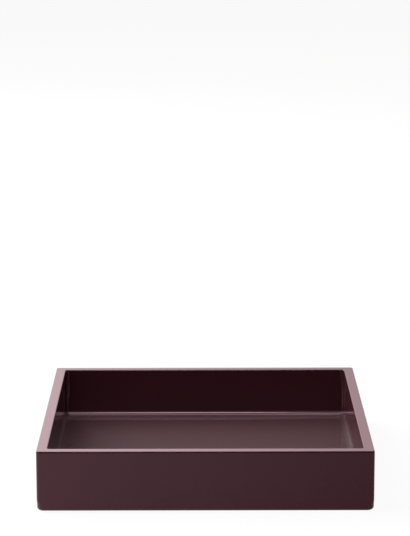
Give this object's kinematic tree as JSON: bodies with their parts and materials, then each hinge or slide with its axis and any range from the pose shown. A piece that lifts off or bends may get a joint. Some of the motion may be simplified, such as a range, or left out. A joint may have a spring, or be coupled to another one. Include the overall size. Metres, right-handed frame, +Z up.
{
  "type": "lacquer tray",
  "caption": "Small square open tray with straight mitred walls and a coved floor, in glossy dark plum lacquer, standing on felt pads under a recessed base.",
  "frame": {"origin": "middle of the footprint, on the surface that the tray stands on", "axes": "+X to the right, +Y to the back, +Z up, out of the open top; in the picture the camera looks along +Y and down"},
  "size_m": [0.19, 0.19, 0.0355],
  "materials": {
    "plum_lacquer": "fibreboard and filler under several coats of glossy, very dark plum lacquer, sanded smooth",
    "beech": "plain sawn beech, hidden in the mitres",
    "black_felt": "short pressed wool felt, self-adhesive"
  },
  "bodies": {
    "root": {"felt_pad_front_left": "black_felt", "felt_pad_front_right": "black_felt", "felt_pad_back_right": "black_felt", "felt_pad_back_left": "black_felt", "base_panel": "plum_lacquer", "front_wall": "plum_lacquer", "right_wall": "plum_lacquer", "back_wall": "plum_lacquer", "left_wall": "plum_lacquer", "corner_spline_front_left": "beech", "corner_spline_front_right": "beech", "corner_spline_back_right": "beech", "corner_spline_back_left": "beech", "floor_cove_front": "plum_lacquer", "floor_cove_right": "plum_lacquer", "floor_cove_back": "plum_lacquer", "floor_cove_left": "plum_lacquer", "corner_cove_front_left": "plum_lacquer", "corner_cove_front_right": "plum_lacquer", "corner_cove_back_right": "plum_lacquer", "corner_cove_back_left": "plum_lacquer"}
  },
  "joints": []
}
